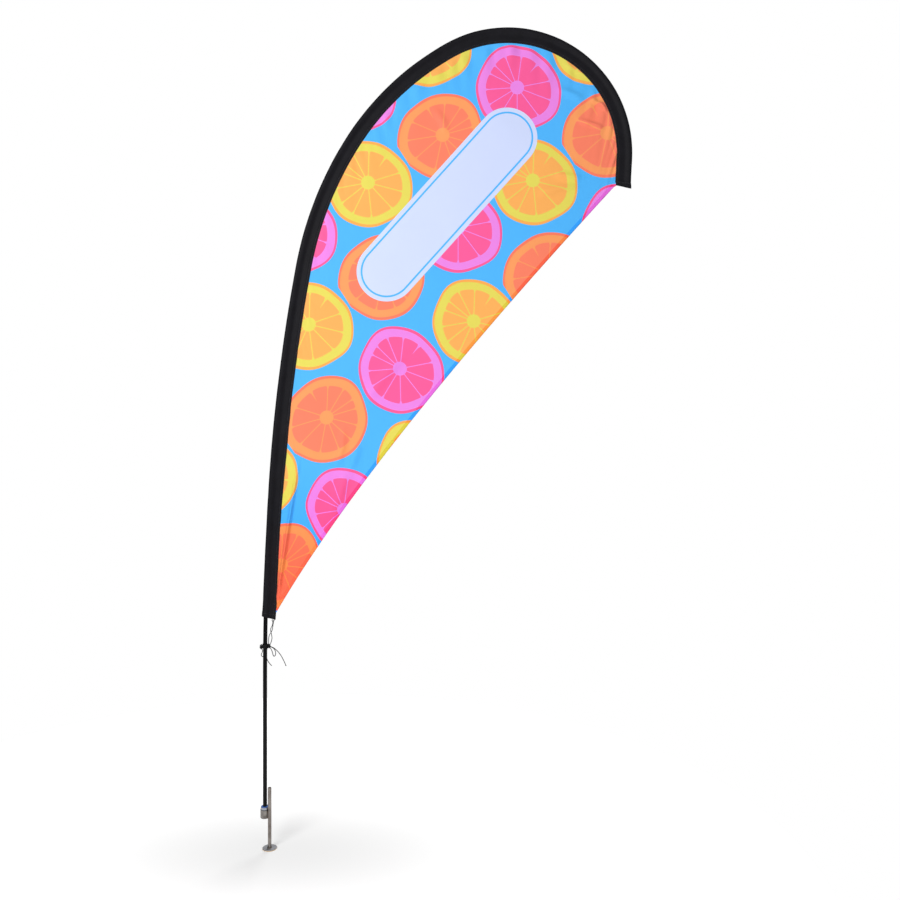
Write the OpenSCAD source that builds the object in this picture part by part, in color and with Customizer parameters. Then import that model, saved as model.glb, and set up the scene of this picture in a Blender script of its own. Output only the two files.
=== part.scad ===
// Teardrop flag on a swivelling ground spike. Millimetres, +Z up.
// Origin: axis of the spike bar at ground level, under the foot disc. The flag spreads along +X.

/* [Ground spike] */
// Diameter of the spike bar
bar_d = 12; // [11:0.5:13]
// Height of the bar above the ground
bar_top_z = 207; // [180:1:240]
// Straight length of bar in the ground
bar_buried = 325; // [200:5:400]
// Length of the point below that
point_length = 45; // [30:1:60]
// Diameter of the foot disc
disc_d = 48; // [40:1:60]
// Thickness of the foot disc
disc_t = 4; // [3:0.5:6]

/* [Swivel housing] */
// Outside diameter of the housing
housing_d = 31; // [30.5:0.5:33]
// Height of the housing
housing_h = 29; // [29:0.5:32]
// Height of the housing's lower edge above the ground
housing_z = 100; // [80:1:110]
// Direction of the housing from the bar, in degrees from +X
housing_angle = 148; // [100:1:180]

/* [Spindle] */
// Diameter of the collar that the pole stands on
collar_d = 28; // [24:0.5:29]
// Height of the collar
collar_h = 8.5; // [6:0.5:12]
// Length of the pin inside the pole
pin_length = 120; // [80:5:150]

/* [Pole] */
// Outside diameter of each section, from the foot up
pole_d = [14, 13, 11, 9]; // [9:0.5:16]
// Wall of every section
pole_wall = 1; // [0.8:0.1:1.2]
// Bend of the lowest section above its straight foot, in degrees
bend_1 = 2.8; // [1:0.1:4]
// Bend of the second section
bend_2 = 7.6; // [4:0.1:12]
// Bend of the third section's two halves
bends_3 = [22, 28.5]; // [10:0.5:40]
// Bend of the tip section
bend_4 = 122; // [90:1:130]
// Length of a joint's spigot on each side of the joint
spigot_length = 100; // [60:5:100]

/* [Sleeve and flag] */
// Thickness of the sleeve's cloth
sleeve_wall = 0.8; // [0.6:0.1:1]
// Thickness of the sewn edge where sleeve and flag meet
seam_t = 2.4; // [2:0.1:3]
// Width of the sewn edge
seam_w = 9; // [6:0.5:12]
// Thickness of the flag
panel_t = 1; // [0.6:0.1:1.5]

/* [Tie cord] */
// Diameter of the tie cord
cord_d = 2.4; // [2:0.1:2.6]

/* [Hidden] */
$fn = 64;

// Bar, disc and welds
bar_r = bar_d / 2;
bar_chamfer = 1;
weld_groove = 0.3;
disc_chamfer = 0.6;
disc_bead = 2;
weld_r = 2.4;
weld_at = [5.4, 4.4];
weld_start = 3;
weld_end = 2;

// Housing, with heights measured from its lower edge
housing_r = housing_d / 2;
lip_t = 2;
lip_r = 10.5;
groove_z = 5.8;
groove_h = 1.2;
groove_r = 13.8;
cap_t = 2.2;
cap_chamfer = 0.5;
pole_x = (bar_r + housing_r) * cos(housing_angle);
pole_y = (bar_r + housing_r) * sin(housing_angle);

// Two 10 x 26 x 8 ball bearings with a spacer between them
race_r = 13;
shaft_r = 5;
bearing_w = 8;
ball_r = 2.38;
ball_count = 7;
ball_gap = 0.04;
pitch_r = 9;
outer_shoulder_r = 10.6;
inner_shoulder_r = 7.4;
upper_bearing_z = housing_z + housing_h - lip_t - bearing_w;
lower_bearing_z = housing_z + groove_z + groove_h;
spacer_z = lower_bearing_z + bearing_w;
spacer_h = upper_bearing_z - spacer_z;
shield_t = 0.4;
shield_gap = 0.2;
spacer_wall = 1.5;
snap_ring = [1, 12, 8];
snap_ring_gap = 0.1;
cage_half_h = 2.9;
cage_r = [8.25, 9.75];

// Spindle and collar
housing_top = housing_z + housing_h;
collar_gap = 0.5;
collar_z = housing_top + collar_gap;
collar_top = collar_z + collar_h;
collar_r = collar_d / 2;
shoulder_r = 6.9;
shaft_bottom = lower_bearing_z - 2.8;
shaft_chamfer = 0.5;
circlip_h = 0.9;
circlip_gap = 5;
circlip_clearance = 0.1;
pin_clearance = 0.07;
pin_taper = [2, 3];
washer_t = 1.5;
washer_r = 12.6;
washer_clearance = 0.1;
pole_foot_z = collar_top + washer_t;

// Pole: bores, joints and its centre line as a chain of arcs [length, bend] from the foot up
pole_bore = [for (d = pole_d) d / 2 - pole_wall];
joint_s = [900, 1840, 2780];
joint_gap = 0.3;
pole_end_s = 3745;
sleeve_end_s = 3770;
spigot_clearance = 0.08;
glue_gap = 0.05;
spigot_wall = 1.6;
foot_straight = 450;
half_3 = (joint_s[2] - joint_s[1]) / 2;
tip_curve = 890;
pole_chain = [
    [foot_straight, 0],
    [joint_s[0] - foot_straight, bend_1],
    [spigot_length, 0],
    [joint_s[1] - joint_s[0] - spigot_length, bend_2],
    [half_3, bends_3[0]],
    [half_3, bends_3[1]],
    [tip_curve, bend_4],
    [sleeve_end_s - joint_s[2] - tip_curve, 0]
];

// Sleeve: stretch of pole it covers, radius round the pole, and reach of its sewn edge
sleeve_s = [643, sleeve_end_s];
sleeve_bore = [[643, 11.5], [700, 9.4], [800, 8.6], [900, 8.2], [1840, 7], [2780, 6.4], [3770, 6.2]];
sleeve_reach = [[643, 34], [700, 38], [900, 38], [1200, 45], [3770, 46.5]];
mouth_slant = -0.27;
tip_slant = -0.17;
tip_draw = 1;
cavity_half_t = 0.4;
cavity_end_s = 3757;
sleeve_angles = [for (i = [0:6]) 105 + 25 * i];
sleeve_stations = concat(
    [sleeve_s[0], 657, 675],
    [for (s = [700:60:2740]) s],
    [for (s = [joint_s[2]:30:3740]) s],
    [cavity_end_s]);

// Flag: its free edge is a shallow curve from the sleeve's mouth to its tip
panel_s = [660, 3764];
panel_lap = 1.5;
edge_start = [20, 797];
edge_pull = [334, 1338];
edge_end = [1169, 2245];
edge_steps = 24;

// Tip pocket and cap
pocket_r = [4.9, 5.6];
pocket_s = [3726, 3756];
cap_dome = 5;
cap_rim = 2;
cap_plug = 15;
cap_taper = [0.5, 1];

// Tie: knot height, tab for the cord, and the routes, as offsets in Y from the flag's plane
knot_z = 684;
knot_x = -17.6;
wrap_r = 8.6;
wrap_pitch = 3;
hitch_offset = wrap_r + 5;
hitch_r = 3;
hitch_cord_r = 1.8;
tab_at = [9.5, 771];
tab_r = [3.2, 4.5];
tab_w = 5;
tab_t = 1.6;
tab_h = 18;
tie_route = [[-5, -3, 689], [-6, -2, 694], [-6, -1, 702], [-5, -1, 713], [-2.5, -1.8, 722],
    [2, -2.2, 729], [6, -1.2, 737], [7.6, 0.8, 746], [8.5, 3.2, 756], [9.3, 4.7, 763],
    [9.5, 3.6, 768.5], [9.5, 0, 770.2], [9.5, -3.6, 768.5], [9.2, -4.7, 763], [7, -3.4, 754],
    [3, -1, 746], [0.5, 1, 739], [1.5, 2.3, 730], [4, 1.4, 720], [5.3, 0.4, 711],
    [4.2, -0.4, 702], [1.6, -1, 694], [-1, -2, 688]];
loop_right_route = [[-3, -4, 679], [1, -5, 677], [5, -5.5, 671], [8, -5.5, 663], [10, -5.5, 655],
    [13, -5.5, 650], [17, -5.2, 652], [19, -4.6, 659], [17.5, -3.8, 667], [13, -2.8, 674],
    [6, -1.6, 679], [-1, -0.6, 680]];
loop_left_route = [[-28, -3, 674], [-26, -4, 669], [-27, -3.6, 663], [-30, -1.5, 657],
    [-31, 2, 650.5], [-28, 6, 645.5], [-23, 9.5, 646.5], [-19, 11, 652], [-16, 11, 660],
    [-14, 10.6, 668], [-13, 10.2, 675]];
tail_long_route = [[-1, -3, 683], [4, -4, 681.5], [12, -5, 678], [20, -6, 672.5], [28, -7, 665],
    [35, -8, 656.5], [41, -8.6, 647.5], [46, -9.2, 638], [51, -9.6, 628], [55.5, -10, 617.5]];
tail_short_route = [[-21, 10.4, 680], [-20, 11.2, 672], [-18.5, 11.6, 662], [-17, 11.8, 651],
    [-15, 12, 640], [-11.5, 12.4, 630], [-5.5, 12.6, 621], [2, 12.6, 612.5]];

// Adds up column k of the first n rows of a list
function sum_to(rows, n, k) = n <= 0 ? 0 : rows[n - 1][k] + sum_to(rows, n - 1, k);

// Step in X and Z along an arc that starts at heading h, from +Z towards +X
function arc_step(h, length, bend) = bend == 0
    ? [length * sin(h), length * cos(h)]
    : let (r = length / (bend * PI / 180)) [r * (cos(h) - cos(h + bend)), r * (sin(h + bend) - sin(h))];

chain_s = [for (i = [0:len(pole_chain)]) sum_to(pole_chain, i, 0)];
chain_h = [for (i = [0:len(pole_chain)]) sum_to(pole_chain, i, 1)];
function chain_point(i) = i == 0
    ? [pole_x, pole_foot_z]
    : chain_point(i - 1) + arc_step(chain_h[i - 1], pole_chain[i - 1][0], pole_chain[i - 1][1]);
chain_p = [for (i = [0:len(pole_chain)]) chain_point(i)];

// Arc that holds distance s along the pole, and the pole's heading and centre there
function arc_at(s) = max([for (i = [0:len(pole_chain) - 1]) if (chain_s[i] <= s || i == 0) i]);
function bend_to(i, s) = pole_chain[i][1] * (s - chain_s[i]) / pole_chain[i][0];
function heading_at(s) = let (i = arc_at(s)) chain_h[i] + bend_to(i, s);
function centre_at(s) = let (i = arc_at(s)) chain_p[i] + arc_step(chain_h[i], s - chain_s[i], bend_to(i, s));

// Point u to the inner side of the pole, v in Y and w further along it, at distance s
function beside(s, u, v, w = 0) = let (h = heading_at(s), p = centre_at(s))
    [p[0] + u * cos(h) + w * sin(h), pole_y + v, p[1] - u * sin(h) + w * cos(h)];

// Point of the flag's outline beside the pole, in X and Z
function panel_point(s) = let (p = beside(s, lookup(s, sleeve_reach) - panel_lap, 0)) [p[0], p[2]];
function edge_point(t) = (1 - t) * (1 - t) * edge_start + 2 * t * (1 - t) * edge_pull + t * t * edge_end;

// One ring of the sleeve: round the pole, then to the sewn edge
function sleeve_ring(s, r, reach, half_t, slant = 0) = concat(
    [for (a = sleeve_angles) beside(s, r * cos(a), r * sin(a), slant * r * cos(a))],
    [beside(s, reach, -half_t, slant * reach), beside(s, reach, half_t, slant * reach)]);

// Frame of a tube's ring: two unit vectors across the direction of travel
function unit(v) = v / norm(v);
function across(d) = unit(cross(d, abs(d[1]) < 0.9 ? [0, 1, 0] : [1, 0, 0]));

// Smooth curve through a route, n steps between points
function curve_point(p, i, t) = let (
    a = p[max(i - 1, 0)],
    b = p[i],
    c = p[i + 1],
    d = p[min(i + 2, len(p) - 1)])
    b + 0.5 * t * (c - a) + t * t * (a - 2.5 * b + 2 * c - 0.5 * d)
    + t * t * t * (-0.5 * a + 1.5 * b - 1.5 * c + 0.5 * d);
function curve(p, n) = concat([for (i = [0:len(p) - 2]) for (k = [0:n - 1]) curve_point(p, i, k / n)],
    [p[len(p) - 1]]);

// Solid between rings of equal point count, given in order
module skin(rings) {
    n = len(rings[0]);
    last = len(rings) - 1;
    points = [for (ring = rings) for (p = ring) p];
    sides = [for (k = [0:last - 1]) for (i = [0:n - 1])
        [k * n + i, k * n + (i + 1) % n, (k + 1) * n + (i + 1) % n, (k + 1) * n + i]];
    start = [[for (i = [n - 1:-1:0]) i]];
    end = [[for (i = [0:n - 1]) last * n + i]];
    polyhedron(points, concat(sides, start, end), convexity = 10);
}

module cord_tube(route, n = 1) {
    p = curve([for (q = route) [q[0], pole_y + q[1], q[2]]], n);
    last = len(p) - 1;
    rings = [for (k = [0:last]) let (
        d = unit(p[min(k + 1, last)] - p[max(k - 1, 0)]),
        e = across(d),
        f = cross(d, e))
        [for (i = [0:7]) p[k] + cord_d / 2 * (cos(45 * i) * e + sin(45 * i) * f)]];
    skin(rings);
}

module ring2d(outer, inner) {
    difference() {
        circle(outer);
        circle(inner);
    }
}

module ring3d(z, h, outer, inner) {
    translate([0, 0, z])
        difference() {
            cylinder(h = h, r = outer);
            translate([0, 0, -1])
                cylinder(h = h + 2, r = inner);
        }
}

// Moves its children to the axis that spindle and housing share
module at_pole() {
    translate([pole_x, pole_y, 0])
        children();
}

// Moves its children to distance s along the pole, with +Z along it
module at_distance(s) {
    p = centre_at(s);
    translate([p[0], pole_y, p[1]])
        rotate([0, heading_at(s), 0])
            children();
}

// Sweeps a round 2D profile up from the origin, along a line or an arc towards +X
module run_up(length, bend) {
    if (bend == 0) {
        linear_extrude(length)
            children();
    }
    else {
        r = length / (bend * PI / 180);
        translate([r, 0, 0])
            rotate([90, 0, 0])
                mirror([1, 0, 0])
                    rotate_extrude(angle = bend)
                        translate([r, 0])
                            children();
    }
}

// The same, down from the origin
module run_down(length, bend) {
    mirror([0, 0, 1])
        run_up(length, bend)
            children();
}

// Bend over a length of the arc that holds distance s
function bend_over(s, length) = let (arc = pole_chain[arc_at(s)]) arc[1] * length / arc[0];

module spike_bar() {
    color("darkgray")
        rotate_extrude()
            polygon([
                [0, -bar_buried - point_length],
                [bar_r, -bar_buried],
                [bar_r, 0],
                [bar_r - weld_groove, weld_groove],
                [bar_r, 2 * weld_groove],
                [bar_r, bar_top_z - bar_chamfer],
                [bar_r - bar_chamfer, bar_top_z],
                [0, bar_top_z]
            ]);
}

module foot_disc() {
    color("silver")
        rotate_extrude()
            polygon([
                [bar_r, 0],
                [disc_d / 2 - disc_chamfer, 0],
                [disc_d / 2, disc_chamfer],
                [disc_d / 2, disc_t - disc_chamfer],
                [disc_d / 2 - disc_chamfer, disc_t],
                [bar_r, disc_t]
            ]);
}

module disc_weld() {
    color("dimgray")
        rotate_extrude()
            polygon([
                [bar_r, disc_t],
                [bar_r + disc_bead, disc_t],
                [bar_r + 0.6 * disc_bead, disc_t + 0.6 * disc_bead],
                [bar_r, disc_t + disc_bead]
            ]);
}

module bearing_housing() {
    color("gray")
        translate([pole_x, pole_y, housing_z])
            difference() {
                rotate_extrude()
                    union() {
                        polygon([
                            [0, 0],
                            [race_r, 0],
                            [race_r, housing_h],
                            [0, housing_h]
                        ]);
                        translate([race_r, housing_r - race_r])
                            square([housing_r - race_r, housing_h - housing_r + race_r]);
                        translate([race_r, housing_r - race_r])
                            intersection() {
                                circle(housing_r - race_r);
                                translate([0, -housing_r])
                                    square(housing_r);
                            }
                    }
                translate([0, 0, -1])
                    cylinder(h = housing_h - lip_t + 1, r = race_r);
                translate([0, 0, -1])
                    cylinder(h = housing_h + 2, r = lip_r);
                translate([0, 0, groove_z])
                    cylinder(h = groove_h, r = groove_r);
            }
}

module housing_welds() {
    color("dimgray")
        translate([0, 0, housing_z + weld_start])
            rotate([0, 0, housing_angle])
                linear_extrude(housing_h - weld_start - weld_end)
                    for (side = [-1, 1])
                        difference() {
                            translate([weld_at[0], side * weld_at[1]])
                                circle(weld_r);
                            circle(bar_r);
                            translate([bar_r + housing_r, 0])
                                circle(housing_r);
                        }
}

module outer_race(z) {
    color("lightsteelblue")
        at_pole()
            translate([0, 0, z])
                rotate_extrude()
                    difference() {
                        translate([outer_shoulder_r, 0])
                            square([race_r - outer_shoulder_r, bearing_w]);
                        translate([pitch_r, bearing_w / 2])
                            circle(ball_r + ball_gap);
                    }
}

module inner_race(z) {
    color("lightsteelblue")
        at_pole()
            translate([0, 0, z])
                rotate_extrude()
                    difference() {
                        translate([shaft_r, 0])
                            square([inner_shoulder_r - shaft_r, bearing_w]);
                        translate([pitch_r, bearing_w / 2])
                            circle(ball_r + ball_gap);
                    }
}

module balls(z) {
    color("whitesmoke")
        at_pole()
            for (i = [0:ball_count - 1])
                rotate([0, 0, 360 / ball_count * i])
                    translate([pitch_r, 0, z + bearing_w / 2])
                        sphere(ball_r);
}

// Cage with a radial pocket for each ball
module ball_cage(z) {
    color("goldenrod")
        at_pole()
            difference() {
                ring3d(z + bearing_w / 2 - cage_half_h, 2 * cage_half_h, cage_r[1], cage_r[0]);
                for (i = [0:ball_count - 1])
                    rotate([0, 0, 360 / ball_count * i])
                        translate([cage_r[0] - 1, 0, z + bearing_w / 2])
                            rotate([0, 90, 0])
                                cylinder(h = cage_r[1] - cage_r[0] + 2, r = ball_r + ball_gap);
            }
}

module bearing_shields() {
    color("slategray")
        at_pole()
            for (z = [lower_bearing_z, upper_bearing_z])
                for (inset = [shield_gap, bearing_w - shield_gap - shield_t])
                    ring3d(z + inset, shield_t, outer_shoulder_r, inner_shoulder_r + shield_gap);
}

module outer_spacer() {
    color("silver")
        at_pole()
            ring3d(spacer_z, spacer_h, race_r, race_r - spacer_wall);
}

module inner_spacer() {
    color("silver")
        at_pole()
            ring3d(spacer_z, spacer_h, shaft_r + spacer_wall, shaft_r);
}

// Split ring: its gap points towards +X
module split_ring(z, h, outer, inner, gap) {
    at_pole()
        difference() {
            ring3d(z, h, outer, inner);
            translate([0, -gap / 2, z - 1])
                cube([outer + 1, gap, h + 2]);
        }
}

module housing_snap_ring() {
    color("black")
        split_ring(lower_bearing_z - snap_ring[0] - snap_ring_gap, snap_ring[0],
            groove_r - snap_ring_gap, snap_ring[1], snap_ring[2]);
}

module shaft_circlip() {
    color("black")
        split_ring(lower_bearing_z - circlip_h - circlip_clearance, circlip_h, inner_shoulder_r,
            shaft_r - shaft_chamfer + circlip_clearance, circlip_gap);
}

module housing_cap() {
    color("dimgray")
        at_pole()
            translate([0, 0, housing_z])
                rotate_extrude()
                    polygon([
                        [0, 0],
                        [race_r - cap_chamfer, 0],
                        [race_r, cap_chamfer],
                        [race_r, cap_t],
                        [0, cap_t]
                    ]);
}

module spindle() {
    pin_r = pole_bore[0] - pin_clearance;
    color("silver")
        at_pole()
            rotate_extrude()
                polygon([
                    [0, shaft_bottom],
                    [shaft_r - shaft_chamfer, shaft_bottom],
                    [shaft_r, shaft_bottom + shaft_chamfer],
                    [shaft_r, lower_bearing_z - circlip_h - 2 * circlip_clearance],
                    [shaft_r - shaft_chamfer, lower_bearing_z - circlip_h - 2 * circlip_clearance],
                    [shaft_r - shaft_chamfer, lower_bearing_z],
                    [shaft_r, lower_bearing_z],
                    [shaft_r, housing_top - lip_t],
                    [shoulder_r, housing_top - lip_t],
                    [shoulder_r, collar_z],
                    [collar_r - shaft_chamfer, collar_z],
                    [collar_r, collar_z + shaft_chamfer],
                    [collar_r, collar_top - 2 * shaft_chamfer],
                    [collar_r - 2 * shaft_chamfer, collar_top],
                    [pin_r, collar_top],
                    [pin_r, collar_top + pin_length - pin_taper[1]],
                    [pin_r - pin_taper[0], collar_top + pin_length],
                    [0, collar_top + pin_length]
                ]);
}

module pole_washer() {
    color("royalblue")
        at_pole()
            ring3d(collar_top, washer_t, washer_r, pole_bore[0] + washer_clearance);
}

// Section i of the pole, from the place s where its two stretches meet
module pole_tube(i, s, down, up) {
    color("#18181b")
        at_distance(s) {
            run_down(down, bend_over(s - 1, down))
                ring2d(pole_d[i] / 2, pole_bore[i]);
            run_up(up, bend_over(s + 1, up))
                ring2d(pole_d[i] / 2, pole_bore[i]);
        }
}

module lower_pole_tube() {
    pole_tube(0, foot_straight, foot_straight, joint_s[0] - foot_straight);
}

module second_pole_tube() {
    pole_tube(1, joint_s[0] + spigot_length, spigot_length - joint_gap,
        joint_s[1] - joint_s[0] - spigot_length);
}

module third_pole_tube() {
    pole_tube(2, joint_s[1] + half_3, half_3 - joint_gap, half_3);
}

module tip_pole_tube() {
    pole_tube(3, joint_s[2] + tip_curve, tip_curve - joint_gap, pole_end_s - joint_s[2] - tip_curve);
}

// Spigot glued into the top of section i, standing up into section i + 1
module ferrule(i) {
    bore = pole_bore[i + 1] - spigot_wall;
    color("silver")
        at_distance(joint_s[i]) {
            run_down(spigot_length, bend_over(joint_s[i] - 1, spigot_length))
                ring2d(pole_bore[i] - glue_gap, bore);
            run_up(spigot_length, bend_over(joint_s[i] + 1, spigot_length))
                ring2d(pole_bore[i + 1] - spigot_clearance, bore);
        }
}

module tip_cap() {
    bore = pole_bore[3] - glue_gap;
    rim = pole_d[3] / 2;
    color("black")
        at_distance(pole_end_s)
            rotate_extrude()
                polygon([
                    [0, -cap_plug],
                    [bore - cap_taper[0], -cap_plug],
                    [bore, cap_taper[1] - cap_plug],
                    [bore, 0],
                    [rim, 0],
                    [rim, cap_rim],
                    [rim - cap_rim / 2, cap_dome - cap_rim / 2],
                    [rim - 1.5 * cap_rim, cap_dome],
                    [0, cap_dome]
                ]);
}

// Webbing cup that the pole's tip pushes into
module tip_pocket() {
    color("#202024")
        at_distance(pocket_s[0])
            difference() {
                cylinder(h = pocket_s[1] - pocket_s[0], r = pocket_r[1]);
                translate([0, 0, -1])
                    cylinder(h = pole_end_s + cap_dome - pocket_s[0] + 1, r = pocket_r[0]);
            }
}

// Hollow cloth tube, open at its mouth and sewn shut at the tip
module pole_sleeve() {
    outer = concat(
        [for (s = sleeve_stations) sleeve_ring(s, lookup(s, sleeve_bore) + sleeve_wall,
            lookup(s, sleeve_reach), seam_t / 2, s == sleeve_s[0] ? mouth_slant : 0)],
        [sleeve_ring(sleeve_s[1], lookup(sleeve_s[1], sleeve_bore) - tip_draw,
            lookup(sleeve_s[1], sleeve_reach), seam_t / 2, tip_slant)]);
    inner = [for (s = sleeve_stations) sleeve_ring(s, lookup(s, sleeve_bore),
        lookup(s, sleeve_reach) - seam_w, cavity_half_t, s == sleeve_s[0] ? mouth_slant : 0)];
    n = len(outer[0]);
    no = len(outer);
    ni = len(inner);
    base = no * n;
    points = concat([for (ring = outer) for (p = ring) p], [for (ring = inner) for (p = ring) p]);
    outside = [for (k = [0:no - 2]) for (i = [0:n - 1])
        [k * n + i, k * n + (i + 1) % n, (k + 1) * n + (i + 1) % n, (k + 1) * n + i]];
    inside = [for (k = [0:ni - 2]) for (i = [0:n - 1])
        [base + k * n + i, base + (k + 1) * n + i, base + (k + 1) * n + (i + 1) % n,
            base + k * n + (i + 1) % n]];
    mouth = [for (i = [0:n - 1]) [i, base + i, base + (i + 1) % n, (i + 1) % n]];
    tip = [[for (i = [0:n - 1]) (no - 1) * n + i]];
    cavity_end = [[for (i = [n - 1:-1:0]) base + (ni - 1) * n + i]];
    color("#15161c")
        polyhedron(points, concat(outside, inside, mouth, tip, cavity_end), convexity = 10);
}

module flag_panel() {
    beside_pole = [for (s = sleeve_stations) if (s > panel_s[0] && s < panel_s[1]) panel_point(s)];
    free_edge = [for (i = [edge_steps:-1:0]) edge_point(i / edge_steps)];
    color("deepskyblue")
        translate([0, pole_y + panel_t / 2, 0])
            rotate([90, 0, 0])
                linear_extrude(panel_t)
                    polygon(concat([panel_point(panel_s[0])], beside_pole,
                        [panel_point(panel_s[1])], free_edge));
}

// Webbing loop under the sleeve's mouth, with the cord through it from front to back
module cord_tab() {
    color("#202024")
        translate([tab_at[0], pole_y + tab_w / 2, tab_at[1]])
            rotate([90, 0, 0])
                difference() {
                    union() {
                        cylinder(h = tab_w, r = tab_r[1]);
                        translate([-tab_r[1], 0, (tab_w - tab_t) / 2])
                            cube([2 * tab_r[1], tab_h, tab_t]);
                    }
                    translate([0, 0, -1])
                        cylinder(h = tab_w + 2, r = tab_r[0]);
                }
}

module tie_wrap() {
    color("#101012")
        translate([knot_x, pole_y, knot_z])
            rotate([0, heading_at(knot_z - pole_foot_z), 0])
                for (k = [-1:1])
                    translate([0, 0, wrap_pitch * k])
                        rotate_extrude()
                            translate([wrap_r, 0])
                                circle(cord_d / 2, $fn = 24);
}

module hitch(x, y, z, lean) {
    translate([x, pole_y + y, z])
        rotate([70, lean, 0])
            rotate_extrude()
                translate([hitch_r, 0])
                    circle(hitch_cord_r, $fn = 24);
}

// Two hitches, one each side of the pole
module tie_knot() {
    color("#101012") {
        hitch(knot_x + hitch_offset, -3, knot_z, 20);
        hitch(knot_x - hitch_offset, -2, knot_z - 2, -30);
    }
}

module tie_cord() {
    color("#101012")
        cord_tube(tie_route, 2);
}

module tie_loop_right() {
    color("#101012")
        cord_tube(loop_right_route, 2);
}

module tie_loop_left() {
    color("#101012")
        cord_tube(loop_left_route, 2);
}

module tie_tail_long() {
    color("#101012")
        cord_tube(tail_long_route, 2);
}

module tie_tail_short() {
    color("#101012")
        cord_tube(tail_short_route, 2);
}

spike_bar();
foot_disc();
disc_weld();
bearing_housing();
housing_welds();
outer_race(upper_bearing_z);  // upper_outer_race
outer_race(lower_bearing_z);  // lower_outer_race
bearing_shields();
outer_spacer();
housing_snap_ring();
housing_cap();
balls(upper_bearing_z);  // upper_balls
ball_cage(upper_bearing_z);  // upper_ball_cage
balls(lower_bearing_z);  // lower_balls
ball_cage(lower_bearing_z);  // lower_ball_cage
spindle();
inner_race(upper_bearing_z);  // upper_inner_race
inner_race(lower_bearing_z);  // lower_inner_race
inner_spacer();
shaft_circlip();
pole_washer();
lower_pole_tube();
ferrule(0);  // lower_ferrule
tie_wrap();
tie_knot();
tie_cord();
tie_loop_right();
tie_loop_left();
tie_tail_long();
tie_tail_short();
second_pole_tube();
ferrule(1);  // middle_ferrule
third_pole_tube();
ferrule(2);  // upper_ferrule
tip_pole_tube();
tip_cap();
tip_pocket();
pole_sleeve();
flag_panel();
cord_tab();
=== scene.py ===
"""Looks of a teardrop flag on its ground spike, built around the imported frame. Metres, +Z up."""

import math
from functools import partialmethod

import bpy
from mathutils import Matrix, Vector, noise


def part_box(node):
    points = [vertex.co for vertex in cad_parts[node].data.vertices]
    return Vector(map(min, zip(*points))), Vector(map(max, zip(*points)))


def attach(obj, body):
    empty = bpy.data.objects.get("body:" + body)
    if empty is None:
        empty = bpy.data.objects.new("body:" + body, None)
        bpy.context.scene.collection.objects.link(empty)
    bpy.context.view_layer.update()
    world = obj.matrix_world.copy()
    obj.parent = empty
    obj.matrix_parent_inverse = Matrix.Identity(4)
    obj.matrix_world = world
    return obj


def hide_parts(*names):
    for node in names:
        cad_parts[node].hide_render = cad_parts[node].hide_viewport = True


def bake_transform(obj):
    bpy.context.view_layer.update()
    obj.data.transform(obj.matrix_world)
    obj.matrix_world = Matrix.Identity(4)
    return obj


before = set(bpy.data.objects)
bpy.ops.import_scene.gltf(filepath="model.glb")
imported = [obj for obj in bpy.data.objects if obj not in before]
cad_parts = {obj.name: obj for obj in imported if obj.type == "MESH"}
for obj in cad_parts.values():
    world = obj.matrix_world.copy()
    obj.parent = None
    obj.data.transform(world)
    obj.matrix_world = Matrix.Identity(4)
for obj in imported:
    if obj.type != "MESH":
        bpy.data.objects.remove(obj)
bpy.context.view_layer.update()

# ---- places taken from the frame
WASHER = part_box("pole_washer")
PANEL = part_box("flag_panel")
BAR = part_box("spike_bar")
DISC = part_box("foot_disc")
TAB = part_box("cord_tab")
POLE_X = (WASHER[0].x + WASHER[1].x) / 2
FLAG_Y = (PANEL[0].y + PANEL[1].y) / 2
FOOT_Z = WASHER[1].z

# The pole's line as stretches of (length, bend in degrees), from the foot up
POLE_CHAIN = (
    (0.450, 0),
    (0.450, 2.8),
    (0.100, 0),
    (0.840, 7.6),
    (0.470, 22),
    (0.470, 28.5),
    (0.890, 122),
    (0.100, 0),
)

# ---- sleeve and flag
SLEEVE_FROM, SLEEVE_TO = 0.643, 3.770
SLEEVE_BORE = (
    (0.643, 0.0115),
    (0.700, 0.0094),
    (0.800, 0.0086),
    (0.900, 0.0082),
    (1.840, 0.0070),
    (2.780, 0.0064),
    (3.770, 0.0062),
)
SLEEVE_REACH = ((0.643, 0.034), (0.700, 0.038), (0.900, 0.038), (1.200, 0.045), (3.770, 0.0465))
SLEEVE_WALL = 0.0008
SEAM_WIDTH = 0.009
SEAM_HALF = 0.0012
MOUTH_SLANT, TIP_SLANT = -0.27, -0.17
HEM_WIDTH = 0.017
TIP_CAP_END = 3.750
ARC_POINTS = 17
SLEEVE_SAG = 0.0045

PANEL_FROM, PANEL_TO = 0.660, 3.764
EDGE_START = (0.020, 0.797)
EDGE_PULL = (0.334, 1.338)
EDGE_END = (1.169, 2.245)
PANEL_TUCK = 0.005
PANEL_HEM = 0.012
PANEL_ROWS, PANEL_COLUMNS, HEM_COLUMNS = 384, 126, 4
CLOTH_HALF = 0.00035
HEM_HALF = 0.0008

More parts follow.
